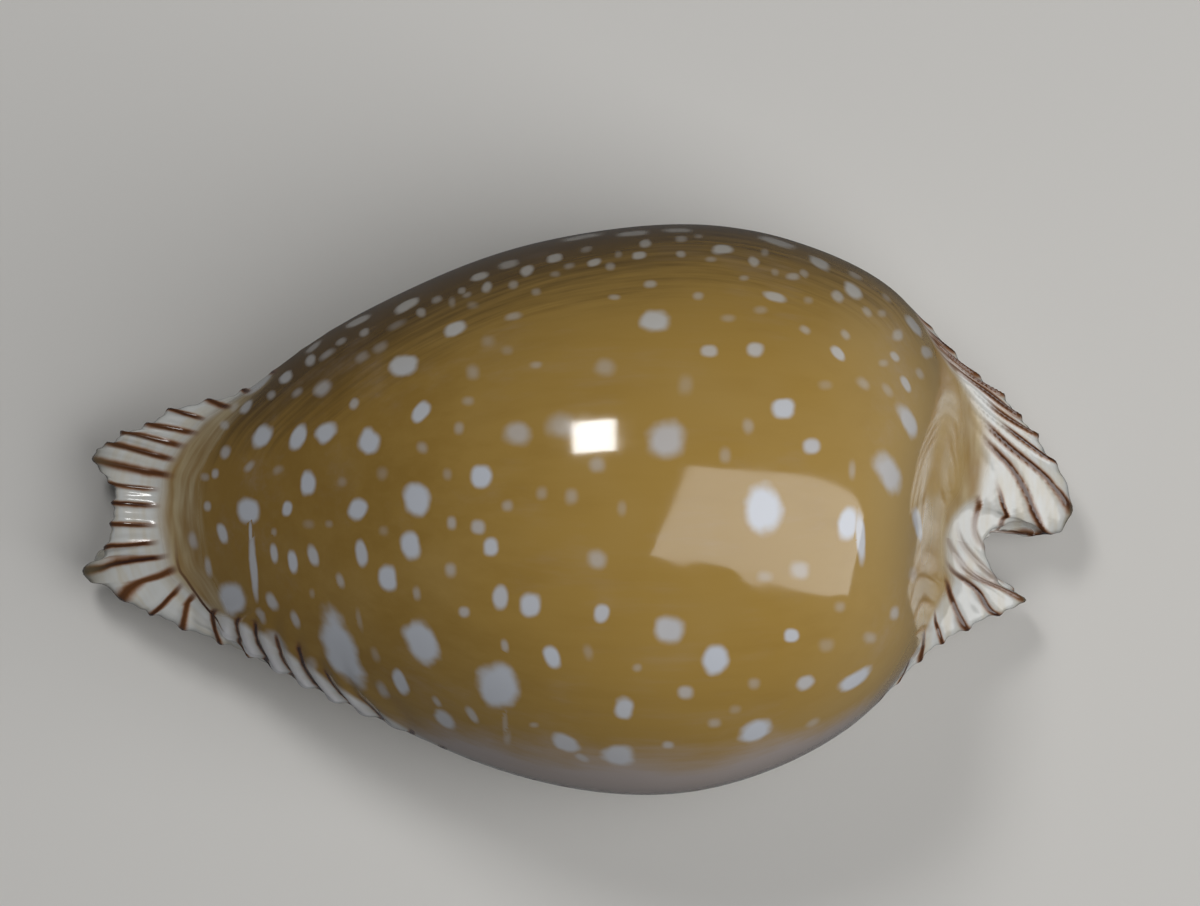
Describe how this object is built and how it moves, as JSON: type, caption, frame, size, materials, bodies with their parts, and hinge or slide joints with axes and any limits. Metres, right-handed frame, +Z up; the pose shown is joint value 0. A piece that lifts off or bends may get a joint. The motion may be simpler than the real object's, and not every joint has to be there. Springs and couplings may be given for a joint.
{
  "type": "cowrie shell",
  "caption": "Empty great spotted cowrie: glossy golden-brown domed shell with white spots, a long narrow mouth and ridged teeth across its white base and end collars.",
  "frame": {"origin": "on the surface the shell lies on, under the middle of its outline", "axes": "+X to the rear (spire) end with the notch and hook, +Y to the outer lip, +Z up through the back"},
  "size_m": [0.062, 0.0353, 0.0294],
  "materials": {
    "shell": "gloss"
  },
  "bodies": {
    "root": {"shell": "shell"}
  },
  "joints": []
}
